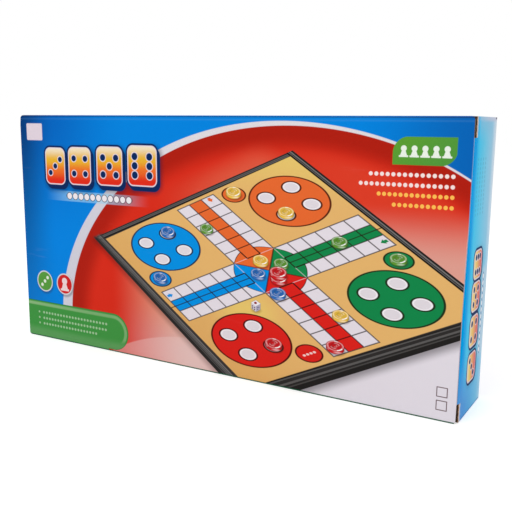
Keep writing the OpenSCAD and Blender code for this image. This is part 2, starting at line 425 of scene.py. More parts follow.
def banded(ink, t, region, bands):
    """Paints stripes over a region: each band is start, end, colour in t from 0 to 1."""
    for start, end, colour in bands:
        ink.lay(colour, region * t.ramp(start - 0.02, start + 0.02) * t.ramp(end + 0.02, end - 0.02))


def grey(level):
    return rgb(level, level - 2, level - 3)


def ludo_sheet(s, ink, p, q):
    """The traditional cross-and-circle pattern, in cell coordinates."""
    soft = 0.035
    yellowed = (p + q).ramp(9, 16).max(s.length(p + 3.6, q + 2.4).ramp(2.6, 0.4))
    tan = s.mix(rgb(220, 170, 100), SHEET_TAN, p.ramp(-8, -3))
    ink.lay(s.mix(tan, rgb(228, 196, 108), yellowed), 1.0)
    ap, aq = p.abs(), q.abs()
    side, along = ap.min(aq), ap.max(aq)
    same = (p * q).over(0)
    a = s.blend(aq, ap, same)
    b = s.blend(ap, aq, same)
    right = p.over(0)
    yard_ink = s.mix(s.mix(BOARD_RED, BOARD_GREEN, right), s.mix(BOARD_BLUE, BOARD_ORANGE, right), q.over(0))
    upright = s.mix(BOARD_RED, BOARD_ORANGE, q.over(0))
    arm_ink = s.mix(s.mix(BOARD_BLUE, BOARD_GREEN, right), upright, (aq - ap).over(0))
    # yards, their holes and the start discs
    rim_ink = s.mix(INK_LINE, yard_ink, 0.12)
    yard = s.disc(a, b, *YARD, YARD_R)
    ink.fill(rim_ink, yard - 0.11, soft)
    ink.fill(yard_ink, yard, soft)
    hole = s.disc((a - YARD[0]).abs(), (b - YARD[1]).abs(), HOLE_OFFSET, HOLE_OFFSET, HOLE_R)
    ink.fill(rim_ink, hole - 0.11, soft)
    ink.fill(rgb(240, 236, 240), hole, soft)
    ink.fill(rgb(222, 215, 221), hole + 0.09, 0.08)
    start = s.disc(a, b, *START, START_R)
    ink.fill(rim_ink, start - 0.1, soft)
    ink.fill(yard_ink, start, soft)
    # a row of dots where one start disc has a word
    dot_row(s, ink, p * CELL_MM, q * CELL_MM, -27.6, -19.2, -61.2, 0.8, 2.1, rgb(240, 206, 202))
    # the cross of cells
    arm = (side - ARM_HALF).max(along - ARM_END)
    ink.fill(INK_LINE, arm - CELL_LINE, soft)
    ink.fill(PAPER_WHITE, arm, soft)
    ink.fill(arm_ink, arm.max(side - 0.5), soft)
    line = (side.cell(1.0).min(along.cell(1.0)) - CELL_LINE).max(arm)
    ink.fill(INK_LINE, line, soft, 0.85)
    fold = (aq - CELL_LINE).max(ARM_HALF - ap)
    ink.fill(INK_LINE, fold, soft, 0.8)
    # small arrow into the arm
    head = ((a - 1).abs() - (b - 6.94) * 0.8).max(b - 7.2)
    stem = ((a - 1).abs() - 0.11).max((b - 7.28).abs() - 0.1)
    ink.fill(yard_ink, head.min(stem), soft)
    # the middle: four sectors that bulge into the arms
    bulge = along - ARM_HALF - (1 - side * side / (ARM_HALF * ARM_HALF)) * 0.73
    star = bulge.max(side - ARM_HALF)
    beside = star.max(0.5 - side)
    ink.fill(INK_LINE, beside - CELL_LINE * 1.2, soft)
    ink.fill(arm_ink, beside.min(along - ARM_HALF), soft)
    facet = ((along - ARM_HALF).abs() - 0.025).max(beside)
    ink.fill(PAPER_WHITE, facet, soft, 0.55)
    column = ((side - 0.5).abs() - CELL_LINE).max(star).max(ARM_HALF - along)
    column = column.min(((along - ARM_HALF).abs() - CELL_LINE).max(side - 0.5))
    ink.fill(INK_LINE, column, soft, 0.85)
    diagonal = ((along - side) * 0.7 - CELL_LINE).max(along - ARM_HALF)
    ink.fill(INK_LINE, diagonal, soft, 0.8)


def pictured_frame(s, ink, x, z, p, q):
    """The moulded frame round the pictured board, with its ribbed near sides."""
    left_foot = line_distance(s, x, z, (-90.0, 75.8), (8.0, 0.1))
    right_foot = line_distance(s, x, z, (53.0, -7.7), (163.0, 46.7))
    # glow of the red field behind the far corner, and shadows before the two near sides
    glow = (q - FRAME_FAR).ramp(2.2, -0.2) * q.ramp(6, 7) * p.ramp(-3, 4) * p.ramp(8, 5.6)
    ink.lay(rgb(224, 104, 76), glow * 0.6)
    outside = left_foot.ramp(-5.5, 0) * left_foot.ramp(14, 8)
    ink.lay(rgb(70, 20, 20), outside * (q - FRAME_FAR).ramp(0.5, -0.4) * 0.42)
    outside = right_foot.ramp(-7, 0) * right_foot.ramp(14, 8)
    ink.lay(rgb(60, 52, 58), outside * p.ramp(-9.8, -7.8) * 0.61)
    # silhouette: top face and the two walls
    q = q + p * 0.011
    body = (p.abs() - FRAME_FAR).max(q.abs() - FRAME_FAR)
    wall_left = (-left_foot).max(p + SHEET_NEAR).max(q - FRAME_FAR).max(-right_foot)
    wall_right = (-right_foot).max(q + SHEET_NEAR).max(-left_foot)
    ink.fill(grey(60), (body * CELL_MM).max(-left_foot), FRAME_SOFT)
    ink.fill(grey(62), wall_left, FRAME_SOFT)
    ink.fill(grey(46), wall_right, FRAME_SOFT)
    # far rims, from the sheet out
    rim = FRAME_FAR - SHEET_FAR
    far = (body * CELL_MM).cover(FRAME_SOFT)
    banded(ink, (q - SHEET_FAR) / rim, far,
           [(0.0, 0.28, grey(26)), (0.3, 0.5, grey(92)), (0.5, 0.56, grey(56)), (0.58, 0.76, grey(90)),
            (0.78, 1.0, grey(44))])
    banded(ink, (p - SHEET_FAR) / rim, far,
           [(0.0, 0.24, grey(20)), (0.27, 0.38, grey(98)), (0.4, 0.48, grey(36)), (0.52, 0.7, grey(116)),
            (0.74, 1.0, grey(34))])
    # near walls, from the sheet's edge to the foot
    depth = (-p - SHEET_NEAR) * 9
    banded(ink, depth / (depth + left_foot.max(0.05)), wall_left.cover(FRAME_SOFT),
           [(0.0, 0.2, grey(56)), (0.22, 0.32, grey(110)), (0.37, 0.44, grey(106)), (0.48, 0.55, grey(92)),
            (0.58, 0.62, grey(50)), (0.64, 0.7, grey(78)), (0.71, 1.0, grey(42))])
    depth = (-q - SHEET_NEAR) * 8
    banded(ink, depth / (depth + right_foot.max(0.05)), wall_right.cover(FRAME_SOFT),
           [(0.0, 0.12, grey(28)), (0.13, 0.2, grey(86)), (0.22, 0.36, grey(46)), (0.38, 0.5, grey(90)),
            (0.52, 0.6, grey(42)), (0.61, 0.68, grey(70)), (0.7, 1.0, grey(33))])


def pictured_pieces(s, ink, x, z):
    """Pawns on the pictured board: low clear discs. Each is drawn once, in its own coordinates."""
    half = PAWN_RISE / 2

    def outline(a, b):
        """0 on the outline of a standing disc, in units of its radius."""
        return s.length(a, (b.abs() - half).max(0) / PAWN_FLAT) - 1

    across, up = x + FAR_AWAY, z
    shade = across.ramp(1, 0)
    tint = BLACK
    for name, p, q, radius in PICTURED_PAWNS:
        cx, cz = in_print(p, q)
        dx, dz = (x - cx) / radius, (z - cz) / radius + 0.04
        here = (-outline(dx, dz)).over(-0.1)
        across = s.blend(across, dx, here)
        up = s.blend(up, dz, here)
        tint = s.mix(tint, PAWN_INKS[name], here)
        shade = shade.max(s.length(dx - 0.14, (dz + half + 0.16) / PAWN_FLAT).ramp(1.3, 0.85))
    ink.lay(rgb(56, 34, 24), shade * 0.5)
    body = outline(across, up)
    top = s.length(across, (up - half) / PAWN_FLAT)
    dark = s.mix(tint, BLACK, 0.5)
    pale = s.mix(tint, WHITE, 0.5)
    ink.fill(dark, body - 0.04, 0.08)
    ink.fill(s.mix(tint, dark, (across * across).ramp(0.2, 1.0) * 0.7), body + 0.04, 0.08)
    # light through the side wall, and the raised rim with its well
    wall = s.ellipse(across, up, 0.34, -half - 0.38, 0.4, 0.1)
    ink.fill(pale, wall.max(body), 0.14, 0.7)
    wall = s.ellipse(across, up, -0.74, -half, 0.12, 0.16)
    ink.fill(pale, wall.max(body), 0.14, 0.6)
    ink.fill(s.mix(tint, pale, 0.2), top - 0.98, 0.08)
    ink.fill(dark, ((top - 1.0).abs() - 0.035).max(up - half), 0.08, 0.6)
    ink.fill(pale, (top - 0.9).abs() - 0.05, 0.1, 0.5)
    ink.fill(s.mix(tint, dark, 0.35), top - 0.76, 0.08)
    turned = across - up + half
    ink.fill(pale, ((top - 0.5).abs() - 0.08).max(turned.abs() - 0.36), 0.12, 0.6)
    ink.fill(dark, ((top - 0.42).abs() - 0.08).max(turned - 0.1), 0.12, 0.6)
    ink.fill(pale, ((top - 0.2).abs() - 0.06).max(-turned), 0.12, 0.4)
    # glints on the rim
    for a, b, reach, strength in ((0.52, -0.2, 0.34, 0.9), (-0.62, 0.1, 0.18, 0.5), (0.1, 0.66, 0.2, 0.6)):
        glint = ((top - 0.87).abs() - 0.08).max(s.length(across - a, (up - b) * 1.5) - reach)
        ink.fill(WHITE, glint, 0.1, strength)


def pictured_die(s, ink, x, z):
    """A small white die in the picture, seen over its top edge."""
    cx, cz = in_print(*PICTURED_DIE)
    x, z = x - cx, z - cz
    slope = (x - 0.3).abs() * 0.55
    ink.fill(rgb(90, 60, 34), s.ellipse(x, z, 0.6, -2.8, 3.4, 1.8), 1.4, 0.4)
    body = (slope / 0.55 - 3.2).max(z.abs() + slope - 3.7)
    ink.fill(rgb(120, 100, 96), body - 0.3, 0.4, 0.5)
    ink.fill(s.mix(rgb(208, 204, 214), rgb(172, 168, 188), x.ramp(0.1, 0.6)), body, 0.3)
    ink.fill(rgb(238, 234, 240), (z - 1.8).abs() + slope - 1.85, 0.4)
    ink.fill(rgb(140, 12, 22), s.ellipse(x, z, 0.0, 1.9, 1.05, 0.75), 0.35)
    for a, b in ((-2.1, -0.3), (-2.1, -1.6), (-0.7, -1.1), (-0.7, -2.4)):
        ink.fill(rgb(78, 34, 60), s.disc(x, z, a, b, 0.46), 0.35)
    for a, b in ((1.5, -0.8), (2.5, -0.6), (1.6, -2.0)):
        ink.fill(rgb(104, 100, 132), s.disc(x, z, a, b, 0.4), 0.35)


def tile_pips(s, a, b, face, step, radius):
    """Signed distance from the pips of a die face, in the face's own coordinates."""
    pa, pb = a.abs(), b.abs()
    corners = s.disc(pa, pb, step, step, radius)
    if face == 6:
        return corners.min(s.disc(pa, b, step, 0, radius))
    if face == 5:
        return corners.min(s.disc(a, b, 0, 0, radius))
    if face == 4:
        return corners
    diagonal = s.disc((a + b).abs() * 0.7071, (a - b) * 0.7071, step * 1.4142, 0, radius)
    return diagonal.min(s.disc(a, b, 0, 0, radius)) if face == 3 else diagonal


# Title tiles: middle along the row, half width, half height, face, middle across the row
TITLE_TILES = [(-130.9, 9.6, 13.2, 3, 129.6), (-107.4, 10.6, 13.3, 4, 130.3),
               (-80.0, 11.6, 13.4, 5, 131.2), (-51.6, 12.4, 13.6, 6, 132.4)]
# Inks of a title from the foot of its tiles up, and the strength of their soft shadow
TITLE_INKS = (rgb(222, 44, 26), rgb(234, 112, 40), rgb(232, 178, 50), rgb(240, 226, 196), 0.55)
END_INKS = (rgb(226, 112, 110), rgb(234, 160, 118), rgb(240, 200, 118), rgb(246, 230, 180), 0.2)


def title_tiles(s, ink, a, b, tiles, palette, shadow):
    """A row of die faces in a warm gradient, with a pale rim and a navy block shadow."""
    for ca, half_a, half_b, face, cb in tiles:
        for k in (3, 2, 1):
            block = s.box(a, b, ca + shadow[0] * k / 1.5, cb + shadow[1] * k / 1.5, half_a, half_b, 4.6)
            if k == 3:
                ink.fill(rgb(10, 24, 50), block - 2.6, 4.6, palette[4])
            ink.fill(NAVY, block - 1.0, 0.4)
    for ca, half_a, half_b, face, cb in tiles:
        tile = s.box(a, b, ca, cb, half_a, half_b, 4.6)
        height = (b - (cb - half_b)) / (2 * half_b)
        warm = s.tinted(palette[0], (palette[1], height.ramp(0.1, 0.42)),
                        (palette[2], height.ramp(0.38, 0.66)), (palette[3], height.ramp(0.66, 1.0)))
        ink.fill(NAVY, tile - 1.3, 0.4)
        ink.fill(rgb(228, 214, 222), tile, 0.35)
        ink.fill(warm, tile + 0.8, 0.5)
        pips = tile_pips(s, a - ca, b - cb, face, half_a * 0.5, half_a * 0.2)
        ink.fill(rgb(228, 214, 222), pips - 0.6, 0.35)
        ink.fill(NAVY, pips, 0.35)


def dot_row(s, ink, a, b, start, end, level, radius, pitch, colour, rim=None, strength=1.0):
    """A row of small discs from start to end."""
    count = max(1, round((end - start) / pitch))
    step = (end - start) / count
    within = (a - (start + end) / 2).abs() - (end - start) / 2
    offset = (s.math("FRACT", (a - start) / step) - 0.5) * step
    dots = (s.length(offset, b - level) - radius).max(within)
    if rim is not None:
        ink.fill(rim, (dots - 0.45).max(within - 0.5), 0.3)
    ink.fill(colour, dots, 0.3, strength)


def little_pawn(s, a, b, ca, cb, size):
    """Signed distance from a pawn's outline that stands on cb."""
    head = s.disc(a, b, ca, cb + size * 0.74, size * 0.26)
    skirt = ((a - ca).abs() - size * 0.36 + (b - cb) * 0.36).max((b - (cb + size * 0.3)).abs() - size * 0.3)
    foot = s.box(a, b, ca, cb + size * 0.07, size * 0.42, size * 0.08, size * 0.05)
    return head.min(skirt).min(foot)


def front_ground(s, x, z):
    """The blue ground, darker towards both ends and the top left corner."""
    edge = s.mix(rgb(2, 56, 116), rgb(8, 120, 204), z.ramp(155, 15, smooth=False))
    near = s.mix(rgb(1, 96, 186), rgb(0, 130, 222), z.ramp(172, 70))
    return s.tinted(edge, (near, x.ramp(-168, -130)), (rgb(1, 130, 220), x.ramp(-146, -60)),
                    (rgb(6, 98, 180), x.ramp(98, 168)))


def red_field(s, x, z):
    """The red field inside the arc: dark under the rim, pale towards the lower right."""
    depth = -s.ellipse(x, z, *ARC_INNER)
    red = s.mix(rgb(174, 30, 16), rgb(214, 44, 26), depth.ramp(5, 18))
    pale = s.mix(rgb(226, 176, 146), rgb(220, 186, 180), z.ramp(46, 8))
    return s.tinted(
        red,
        # pale to the right, under the label
        (rgb(218, 60, 38), x.ramp(20, 100) * depth.ramp(10, 22)),
        (rgb(221, 156, 142), x.ramp(40, 100) * z.ramp(119, 85)),
        # pale to the lower left, beside the board, and near white below it
        (pale, x.ramp(-82, -8) * z.ramp(86, 60)),
        (rgb(224, 218, 226), x.ramp(10, 70) * z.ramp(62, 44)))


def front_field(s, ink, x, z):
    """The blue ground, the white arc and the red field."""
    ink.lay(front_ground(s, x, z), 1.0)
    inner = s.ellipse(x, z, *ARC_INNER)
    arc = s.mix(rgb(208, 206, 217), rgb(221, 216, 221), x.ramp(-110, 0))
    ink.fill(arc, s.ellipse(x, z, *ARC_OUTER), 0.4)
    ink.lay(red_field(s, x, z), inner.cover(0.4))
    # pale lobe at the lower left of the field
    lobe = s.ellipse(x, z, -6, -78, 126, 98)
    ink.fill(rgb(236, 206, 202), lobe.max(inner), 0.8, 0.32)
    # translucent strip behind the subtitle
    strip = s.box(x, z, -92, 108.7, 52, 3.6, 0.5)
    fade = x.ramp(-142, -112) * x.ramp(-44, -86)
    ink.lay(rgb(150, 208, 236), strip.cover(0.6) * fade * 0.55)


def pictured_sheet(s, ink, p, q):
    """The sheet of the pictured board, inside its frame."""
    board = Ink(s, SHEET_TAN)
    ludo_sheet(s, board, p, q)
    sheet = (p.max(q) - SHEET_FAR).max(-(p.min(q) + SHEET_NEAR))
    ink.lay(board.colour, (sheet * CELL_MM).cover(FRAME_SOFT))


def front_label(s, ink, x, z):
    """Green label with two sharp and two round corners, and the rows of dots under it."""
    label = s.box(x, z, 138.7, 147.1, 17.4, 7.5)
    corner_in = (130.0 - x).min(z - 146.0).min(s.disc(x, z, 130.0, 146.0, 8.7))
    corner_out = (x - 147.6).min(148.4 - z).min(s.disc(x, z, 147.6, 148.4, 8.9))
    leaf = label.max(corner_in).max(corner_out)
    ink.fill(s.mix(rgb(90, 156, 50), rgb(78, 148, 60), (x - z).ramp(-30, 20)), leaf, 0.4)
    cell = (s.math("FRACT", (x - 124.4) / 5.9) - 0.5) * 5.9
    pawns = little_pawn(s, cell, z, 0, 143.8, 6.2).max((x - 139.15).abs() - 14.75)
    ink.fill(rgb(232, 240, 228), pawns, 0.35)
    # rows of dots where the photograph has a slogan, right-aligned
    for start, level, colour in ((107.5, 134.3, rgb(244, 226, 222)), (101.8, 128.8, rgb(244, 222, 218)),
                                 (112.6, 123.4, rgb(250, 188, 84)), (121.5, 117.8, rgb(250, 188, 84))):
        dot_row(s, ink, x, z, start, 156.3, level, 1.15, 3.2, colour)


def front_title(s, ink, x, z):
    """Title, subtitle and corner square."""
    title_tiles(s, ink, x, z, TITLE_TILES, TITLE_INKS, (0.9, -1.1))
    dot_row(s, ink, x, z, -120.6, -60.8, 108.9, 2.2, 5.4, rgb(236, 230, 234), rim=rgb(70, 60, 70))
    ink.fill(rgb(222, 208, 218), s.box(x, z, -150.5, 153.6, 7.8, 6.0, 1.0), 0.5)


def front_badges(s, ink, x, z):
    """Two round badges and the green band with a round end, at the lower left."""
    for cx, colour in ((-146.8, rgb(86, 152, 62)), (-126.6, rgb(206, 36, 38))):
        badge = s.disc(x, z, cx, 43.2, 8.0)
        ink.fill(rgb(30, 40, 60), s.disc(x, z, cx + 0.7, 42.0, 8.5), 1.6, 0.45)
        ink.fill(rgb(212, 212, 214), badge, 0.35)
        ink.fill(colour, badge + 0.9, 0.35)
    ink.fill(rgb(226, 234, 216), tile_pips(s, x + 146.8, z - 43.2, 3, 2.9, 1.3), 0.35)
    ink.fill(rgb(238, 212, 214), little_pawn(s, x, z, -126.6, 38.2, 9.8), 0.35)
    round_end = s.box(x, z, -124.0, 14.0, 56.5, 13.1, 13.1).max(-110 - x)
    band = round_end.min(s.box(x, z, -142, 11.6, 56, 15.5))
    green = s.mix(rgb(64, 146, 66), rgb(92, 156, 90), z.ramp(9, 3))
    stripe = (band.abs() - 2.2).abs().ramp(1.7, 0.6) * z.ramp(5, 10) * s.blend(0.75, 1.0, x.ramp(-90, -164))
    green = s.mix(green, rgb(134, 180, 122), stripe)
    ink.fill(rgb(24, 96, 52), band - 0.3, 0.3)
    ink.lay(green, band.cover(0.3))
    pale = rgb(176, 208, 168)
    for end, level in ((-86.0, 18.6), (-86.6, 14.2), (-96.0, 9.9)):
        dot_row(s, ink, x, z, -151.0, end, level, 0.95, 2.9, pale, strength=0.75)
        ink.fill(pale, s.disc(x, z, -154.4, level, 0.8), 0.3, 0.8)


def check_boxes(s, ink, x, z):
    """Two empty check boxes at the lower right."""
    for cz in (16.0, 8.2):
        square = s.box(x, z, 155.2, cz, 2.9, 2.7)
        ink.fill(rgb(98, 74, 80), square.abs() - 0.26, 0.25)


def base_trim_and_crease_shading(s, ink, z):
    """The dark green trim along the base, and painted shade and a painted highlight along the top crease."""
    ink.lay(rgb(18, 92, 62), z.ramp(1.3, 0.7))
    # painted highlight: a pale line just under the top crease; painted shade: a dark line on the crease as
    # it turns over
    ink.lay(rgb(110, 170, 214), (z - (HEIGHT - 2.6)).abs().ramp(0.8, 0.1) * 0.09)
    ink.lay(rgb(18, 44, 84), z.ramp(HEIGHT - 1.5, HEIGHT - 0.7) * 0.6)


def front_print_and_crease_shading(s, x, z):
    """Everything printed on the front panel, from the ground up, and last the painted shade and painted
    highlight along the top crease.
    """
    ink = Ink(s, WHITE)
    px, pz = mapped(s, PANEL_TO_PRINT, x, z)
    p, q = mapped(s, PRINT_TO_BOARD, px, pz)
    s.layer(front_field, ink, px, pz)
    s.layer(pictured_frame, ink, px, pz, p, q)
    s.layer(pictured_sheet, ink, p, q)
    for draw in (pictured_pieces, pictured_die, front_label, front_title, front_badges, check_boxes):
        s.layer(draw, ink, px, pz)
    # the base trim, then painted shade and a painted highlight along the top crease
    s.layer(base_trim_and_crease_shading, ink, z)
    return ink.colour


def worn(s, colour, distance, width, tint, strength):
    """Rubs a colour along an edge: distance in millimetres from it."""
    patchy = s.noise(260, 4.0)
    return s.mix(colour, tint, (distance + patchy * width).ramp(width * 1.1, width * 0.35) * strength)


def laminated(s, colour, gloss=0.02):
    """Laminated print on fluted board."""
    fibre = s.noise(900, 3.0)
    waves = s.noise(26, 2.0)
    scuffs = s.noise(70, 5.0, (0.35, 1, 2.6)).ramp(0.66, 0.8)
    colour = s.mix(colour, WHITE, scuffs * 0.02)
    roughness = s.blend(0.36, 0.5, waves) + scuffs * 0.12
    return s.finish(colour, roughness, s.bump(waves, 0.6, s.bump(fibre, 0.02)),
                    Specular_IOR_Level=gloss, Coat_Weight=gloss, Coat_Roughness=0.2)


def front_material():
    s = Shader("front_print_and_crease_shading")
    x, _, z = s.place()
    # rubbed at the right end, but not near the top
    from_end = FRONT_END + 0.5 - x + z.ramp(100, 120) * 9
    return laminated(s, worn(s, front_print_and_crease_shading(s, x, z), from_end, 0.9, rgb(214, 212, 216), 0.5))


def sleeve_material():
    """The rest of the sleeve: blue ground, with the same arcs on the back."""
    s = Shader("sleeve_print")
    x, y, z = s.place()
    ink = Ink(s, front_ground(s, x, z))
    back = y.over(HALF_Y - 1.2)
    outer = s.ellipse(x, z, -ARC_OUTER[0], *ARC_OUTER[1:])
    inner = s.ellipse(x, z, -ARC_INNER[0], *ARC_INNER[1:])
    ink.lay(PAPER_WHITE, outer.cover(0.4) * back)
    # pale towards the foot, where the front has the board's picture
    fall = x * -0.25 - z
    red = s.tinted(rgb(174, 30, 16), (rgb(214, 44, 26), (-inner).ramp(5, 22)),
                   (rgb(221, 156, 142), fall.ramp(-118, -44)), (rgb(221, 213, 220), fall.ramp(-74, 0)))
    ink.lay(red, inner.cover(0.4) * back)
    ink.lay(rgb(24, 86, 58), z.ramp(1.3, 0.7) * y.abs().ramp(HALF_Y - 3, HALF_Y - 2.4))
    edge = inset(y, HALF_Y).max(inset(z - MID_Z, MID_Z))
    return laminated(s, worn(s, ink.colour, edge, 1.0, rgb(206, 218, 230), 0.4))


# Rotated title on the end panel: middle up the panel, half width, half height, face, middle across
END_TILES = [(24.6, 8.6, 9.3, 3, -2.6), (46.0, 9.2, 9.3, 4, -2.7),
             (66.0, 8.6, 9.3, 5, -2.6), (84.4, 8.4, 9.0, 6, -2.7)]


# The end print lies on the panel a little smaller than it is drawn, from this front edge and foot
END_PRINT_FRONT = -24.8
END_DRAWN_FRONT = -24.5
END_PRINT_WIDTH = 0.9486
END_PRINT_FOOT = 1.8
END_DRAWN_HEIGHT = 1.0128


def end_print(s, ink, y, z):
    """The end panel's print: cyan, paler towards the back, bluer at the foot."""
    ink.colour = s.tinted(
        rgb(0, 162, 234),
        (rgb(68, 202, 244), y.ramp(-17.8, -11.5, smooth=False)),
        (rgb(108, 206, 238), y.ramp(-12, 0, smooth=False)),
        (rgb(158, 206, 232), y.ramp(0, 18, smooth=False)),
        (rgb(214, 230, 242), y.ramp(18, 25, smooth=False)),
        (rgb(88, 202, 242), z.ramp(130, 60) * y.ramp(-12, 6) * 0.5),
        (rgb(88, 154, 222), z.ramp(42, 2) * y.ramp(30, -20)),
        (rgb(150, 196, 226), z.ramp(150, 166) * y.ramp(-16, -8) * y.ramp(20, 8) * 0.7),
        (rgb(206, 222, 234), y.ramp(13.5, 16.5) * z.ramp(24, 32) * z.ramp(84, 76) * 0.6))
    # faint rows of small print, left as dots
    for level in (-11.0, -5.5, 0.0, 5.5):
        dot_row(s, ink, z, y, 112, 144, level, 0.9, 2.4, rgb(60, 112, 156), strength=0.3)
    title_tiles(s, ink, z, -y, END_TILES, END_INKS, (-0.3, -0.5))
    dot_row(s, ink, z, y, 29.0, 77.0, 18.4, 1.5, 4.0, rgb(240, 244, 250), rim=rgb(60, 120, 176))


def end_material():
    s = Shader("end_print")
    _, y, z = s.place()
    ink = Ink(s, WHITE)
    drawn_y = (y - END_PRINT_FRONT) / END_PRINT_WIDTH + END_DRAWN_FRONT
    s.layer(end_print, ink, drawn_y, (z - END_PRINT_FOOT) * END_DRAWN_HEIGHT)
    # pale worn top edge, widest at the back, and a dark tip at its back corner
    ink.lay(rgb(204, 208, 226), z.ramp(HEIGHT - 3.4, HEIGHT - 1.0) * y.ramp(-30, 22) * 0.9)
    ink.lay(rgb(90, 80, 104), z.ramp(HEIGHT - 1.5, HEIGHT - 0.7) * y.ramp(20.5, 22.5))
    ink.lay(rgb(70, 110, 170), z.ramp(1.2, 0.5) * 0.6)
    # bare paper at the shoulders, where the slit lock rubs
    at_slit = inset(z - MID_Z, MID_Z).ramp(SLIT_H + 0.3, SLIT_H - 0.3)
    shoulder_y = z.ramp(MID_Z - 1, MID_Z + 1) * (SHOULDER_Y - LOW_SHOULDER_Y) + LOW_SHOULDER_Y
    colour = worn(s, ink.colour, y - shoulder_y + (1 - at_slit) * 9, 6.0, rgb(236, 222, 208), 0.95)
    colour = worn(s, colour, HALF_Y - y, 1.2, rgb(222, 226, 232), 0.5)
    return laminated(s, colour, 0.008)


def kraft_material():
    """Unprinted inside liner: brown, with fibres and faint flute lines."""
    s = Shader("kraft_liner")
    x = s.place()[0]
    fibres = s.noise(320, 6.0, (1, 1, 0.35))
    patches = s.noise(30, 3.0)
    flutes = s.math("SINE", x * FLUTES)
    colour = s.tinted(rgb(150, 106, 68), (rgb(188, 146, 104), fibres),
                      (rgb(134, 92, 58), patches.ramp(0.55, 0.8) * 0.35),
                      (rgb(120, 82, 50), flutes.ramp(0.2, 1.0) * 0.12))
    return s.finish(colour, 0.85, s.bump(flutes, 0.04, s.bump(fibres, 0.05)), Specular_IOR_Level=0.2)


def coated_board(name):
    """White-coated board under construction: its shader, fibres and colour."""
    s = Shader(name)
    fibres = s.noise(420, 5.0)
    return s, fibres, s.mix(rgb(226, 224, 220), rgb(206, 202, 196), fibres.ramp(0.4, 0.75) * 0.5)


def liner_material():
    """White-coated outside of a dust flap, with the blue print bleeding over its crease."""
    s, fibres, colour = coated_board("white_liner")
    _, y, z = s.place()
    bleed = (inset(z - MID_Z, MID_Z) + fibres * 0.8).ramp(5.6, 5.0)
    # painted shade of the slit: dark brown where the flap shows in the slit
    flap_slit_shade = (y + fibres * 1.2).ramp(SHOULDER_Y + 1.6, SHOULDER_Y + 0.8)
    colour = s.tinted(colour, (rgb(12, 120, 204), bleed), (rgb(84, 58, 42), flap_slit_shade))
    return s.finish(colour, 0.6, s.bump(fibres, 0.04), Specular_IOR_Level=0.3)


def tab_material():
    """Tuck tab: white-coated, with the end's blue bleeding a little over the fold."""
    s, fibres, colour = coated_board("tab_liner")
    x = s.place()[0]
    colour = s.mix(colour, rgb(20, 152, 214), (x.abs() - fibres * 0.8).ramp(HALF_X - 8.2, HALF_X - 7.4))
    return s.finish(colour, 0.6, s.bump(fibres, 0.04), Specular_IOR_Level=0.3)


def edge_material():
    """Cut edge of fluted board: two brown liners and the wave between them."""
    s = Shader("cut_edge")
    x, y, z = s.place()
    from_end = inset(x, HALF_X)
    depth = inset(y, HALF_Y).min(inset(z - MID_Z, MID_Z)).min(from_end) / BOARD_T
    wave = s.math("SINE", (z + y) * FLUTES) * 0.3 + 0.5
    fibres = s.noise(700, 5.0)
    # the front panel's ends between the slits: pale, and blue towards the top
    between = (z - MID_Z).abs().ramp(MID_Z - SLIT_H + 0.4, MID_Z - SLIT_H - 0.4)
    on_front = y.ramp(-HALF_Y + BOARD_T + 0.2, -HALF_Y + BOARD_T)
    front_edge_tone = s.mix(rgb(190, 188, 200), rgb(30, 140, 212), z.ramp(96, 120))
    # painted shade: the inner side of the slits made dark, where the boards shade each other
    painted_slit_shade = y.ramp(SHOULDER_Y + 0.4, SHOULDER_Y + 0.2) * (1 - between)
    painted_slit_shade = painted_slit_shade * from_end.ramp(0.35, 0.6).max(on_front)
    colour = s.tinted(rgb(96, 66, 44), (rgb(164, 120, 84), fibres),
                      (rgb(196, 156, 120), (depth - wave).abs().ramp(0.22, 0.1)),
                      (rgb(206, 176, 150), (depth - 0.5).abs().ramp(0.36, 0.42)),
                      (front_edge_tone, between * on_front * 0.85), (rgb(46, 36, 32), painted_slit_shade * 0.9))
    return s.finish(colour, 0.9, s.bump(fibres, 0.1), Specular_IOR_Level=0.15)


# ---- meshes ----


def add_object(name, data):
    made = bpy.data.objects.new(name, data)
    bpy.context.scene.collection.objects.link(made)
    return made


def on_arc(a, b, radius, degrees):
    """Point of a circle round (a, b)."""
    angle = math.radians(degrees)
    return a + math.cos(angle) * radius, b + math.sin(angle) * radius


def ring_face(base, n, i, j):
    """Quad between points j and j + 1 of rings i and i + 1, which have n points each."""
    low, high = base + i * n, base + (i + 1) * n
    k = (j + 1) % n
    return low + j, low + k, high + k, high + j


def make_piece(name, body, replaced, vertices, faces, materials, marks, smooth_angle=40):
    """A mesh piece from millimetre vertices. marks gives each face's material index."""
    mesh = bpy.data.meshes.new(name)
    mesh.from_pydata([tuple(c * MM for c in v) for v in vertices], [], faces)
    for material in materials:
        mesh.materials.append(material)
    for face, mark in zip(mesh.polygons, marks):
        face.material_index = mark
    bm = bmesh.new()
    bm.from_mesh(mesh)
    bmesh.ops.recalc_face_normals(bm, faces=bm.faces)
    for edge in bm.edges:
        edge.smooth = len(edge.link_faces) == 2 and edge.calc_face_angle(0) < math.radians(smooth_angle)
    for face in bm.faces:
        face.smooth = True
    bm.to_mesh(mesh)
    bm.free()
    piece = add_object(name, mesh)
    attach(piece, body)
    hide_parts(*replaced)
    return piece


CREASE_R = 1.5
WALL_STEPS = 30
DECK_STEPS = 10
ARC_STEPS = 6


